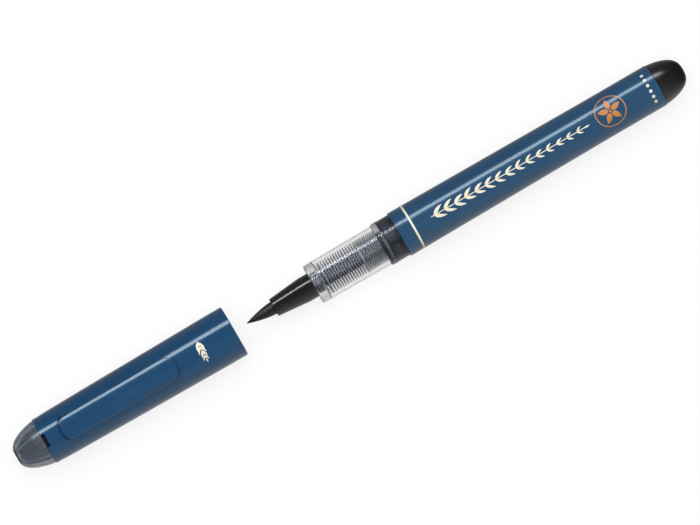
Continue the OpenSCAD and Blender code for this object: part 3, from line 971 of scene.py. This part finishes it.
def make_floor():
    """A pale table. Most of its whiteness is its own glow, and it is neither mirrored in the pen nor lights it."""
    bm = bmesh.new()
    bmesh.ops.create_grid(bm, x_segments=8, y_segments=8, size=2.5)
    mesh = bpy.data.meshes.new("floor")
    bm.to_mesh(mesh)
    bm.free()
    n = Nodes("floor_white")
    n.link(n.mix(n.noise(3.0, 2.0), (0.2, 0.2, 0.2), (0.21, 0.21, 0.21)), n.shader.inputs["Base Color"])
    n.set(Roughness=0.9, Specular_IOR_Level=0.0, Emission_Color=(1, 1, 1, 1), Emission_Strength=0.79)
    mesh.materials.append(n.material)
    floor = new_object("floor", mesh)
    floor.visible_glossy = floor.visible_diffuse = False


def make_world():
    """The studio round the pen. Polished plastic mirrors a pale wall on the -Y side and dark cards elsewhere.

    The camera, reflections, clear plastic and the lighting itself each get their own background.
    """
    world = bpy.data.worlds.new("studio")
    world.use_nodes = True
    tree = world.node_tree

    def add(kind, first=None, second=None, **settings):
        node = tree.nodes.new(kind)
        for key, value in settings.items():
            setattr(node, key, value)
        for socket, source in zip(node.inputs, (first, second)):
            if isinstance(source, (int, float)):
                socket.default_value = source
            elif source is not None:
                tree.links.new(source, socket)
        return node

    def ramp(value, stops):
        node = add("ShaderNodeValToRGB", value)
        elements = node.color_ramp.elements
        while len(elements) < len(stops):
            elements.new(0.5)
        for element, (position, level) in zip(elements, stops):
            element.position, element.color = position, (*level, 1.0)
        return node.outputs["Color"]

    def grey(level):
        return (level, level, level)

    direction = add("ShaderNodeTexCoord").outputs["Generated"]
    split = add("ShaderNodeSeparateXYZ", direction)
    tilt = add("ShaderNodeMath", split.outputs["Y"], split.outputs["Z"], operation="ARCTAN2").outputs[0]
    round_pen = add("ShaderNodeMapRange", tilt)
    round_pen.inputs["From Min"].default_value, round_pen.inputs["From Max"].default_value = -math.pi, math.pi
    warm_shade = (0.3, 0.28, 0.27)
    mirrored = ramp(round_pen.outputs[0], [
        (0.0, grey(0.5)), (0.17, grey(0.95)), (0.25, grey(0.88)), (0.335, grey(0.66)), (0.43, grey(0.3)),
        (0.5, grey(0.06)), (0.56, grey(0.06)), (0.71, grey(0.14)), (0.78, warm_shade), (1.0, grey(0.5))])
    sideways = add("ShaderNodeMath", split.outputs["X"], operation="ABSOLUTE").outputs[0]
    open_share = ramp(sideways, [(0.3, grey(1.0)), (0.8, grey(0.08))])
    shaded = add("ShaderNodeMix", data_type="RGBA", blend_type="MULTIPLY")
    shaded.inputs[0].default_value = 1.0
    tree.links.new(mirrored, shaded.inputs[6])
    tree.links.new(open_share, shaded.inputs[7])
    dome = ramp(split.outputs["Z"], [(0.0, grey(0.1)), (0.5, grey(0.3))])

    path = add("ShaderNodeLightPath").outputs
    low_down = add("ShaderNodeSeparateColor", ramp(split.outputs["Z"], [(0.15, grey(1.0)), (0.4, grey(0.0))]))
    through = add("ShaderNodeMath", path["Is Transmission Ray"], low_down.outputs[0], operation="MULTIPLY")
    base = tree.nodes["Background"]
    tree.links.new(dome, base.inputs["Color"])
    chosen = base.outputs[0]
    for seen_by, colour in ((path["Is Glossy Ray"], shaded.outputs[2]), (path["Is Camera Ray"], grey(0.9)),
                            (through.outputs[0], grey(0.85))):
        background = add("ShaderNodeBackground")
        if isinstance(colour, tuple):
            background.inputs["Color"].default_value = (*colour, 1.0)
        else:
            tree.links.new(colour, background.inputs["Color"])
        mix = add("ShaderNodeMixShader", seen_by, chosen)
        tree.links.new(background.outputs[0], mix.inputs[2])
        chosen = mix.outputs[0]
    tree.links.new(chosen, tree.nodes["World Output"].inputs["Surface"])
    bpy.context.scene.world = world


def make_light(name, tilt_deg, distance, size, radiance, mirrored):
    """A soft panel parallel to the pen, tilt_deg from overhead towards +Y. It is only mirrored, or it only lights.

    The size and distance are in metres.
    """
    lamp = bpy.data.lights.new(name, "AREA")
    lamp.shape = "RECTANGLE"
    lamp.size, lamp.size_y = size
    lamp.energy = radiance * math.pi * size[0] * size[1]
    piece = bpy.data.objects.new(name, lamp)
    tilt = math.radians(tilt_deg)
    piece.location = (0, distance * math.sin(tilt), distance * math.cos(tilt) + AXIS_Z * MM)
    piece.rotation_euler = (-tilt, 0, 0)
    piece.visible_camera = False
    piece.visible_glossy, piece.visible_diffuse = mirrored, not mirrored
    bpy.context.scene.collection.objects.link(piece)


def make_camera():
    """Overhead, a little towards the crown's side, turned so that the pen rises to the right."""
    pixels_per_mm, width = 4.2134, 700
    seen = width / pixels_per_mm * MM
    distance, toward_cap, slope = 1.2, -0.0488, math.radians(30.22)
    target = Vector((-0.14 * MM, 0.17 * MM, AXIS_Z * MM))
    camera = bpy.data.cameras.new("camera")
    camera.sensor_width = 36
    camera.lens = 36 * distance / seen
    camera.clip_start, camera.clip_end = 0.05, 20
    piece = bpy.data.objects.new("camera", camera)
    piece.location = target + Vector((toward_cap, 0, distance))
    back = (piece.location - target).normalized()
    along = (Vector((1, 0, 0)) - back * back.x).normalized()
    across = back.cross(along)
    right = along * math.cos(slope) - across * math.sin(slope)
    up = along * math.sin(slope) + across * math.cos(slope)
    piece.rotation_mode = "QUATERNION"
    piece.rotation_quaternion = Matrix((right, up, back)).transposed().to_quaternion()
    bpy.context.scene.collection.objects.link(piece)
    bpy.context.scene.camera = piece


def build():
    make_barrel()
    make_tail_plug()
    make_front_section()
    make_collector()
    make_ink_film()
    make_tip_holder()
    make_brush()
    make_cap_body()
    make_clip()
    make_crown()
    make_inner_cap()
    make_barrel_print()
    make_cap_print()
    paint_hidden_solids()
    make_floor()
    make_world()
    make_light("strip", tilt_deg=46.8, distance=0.75, size=(0.88, 0.19), radiance=10.3, mirrored=True)
    make_light("key", tilt_deg=10, distance=1.2, size=(1.3, 1.3), radiance=3.0, mirrored=False)
    make_camera()
    bpy.context.scene.view_settings.view_transform = "Standard"


build()
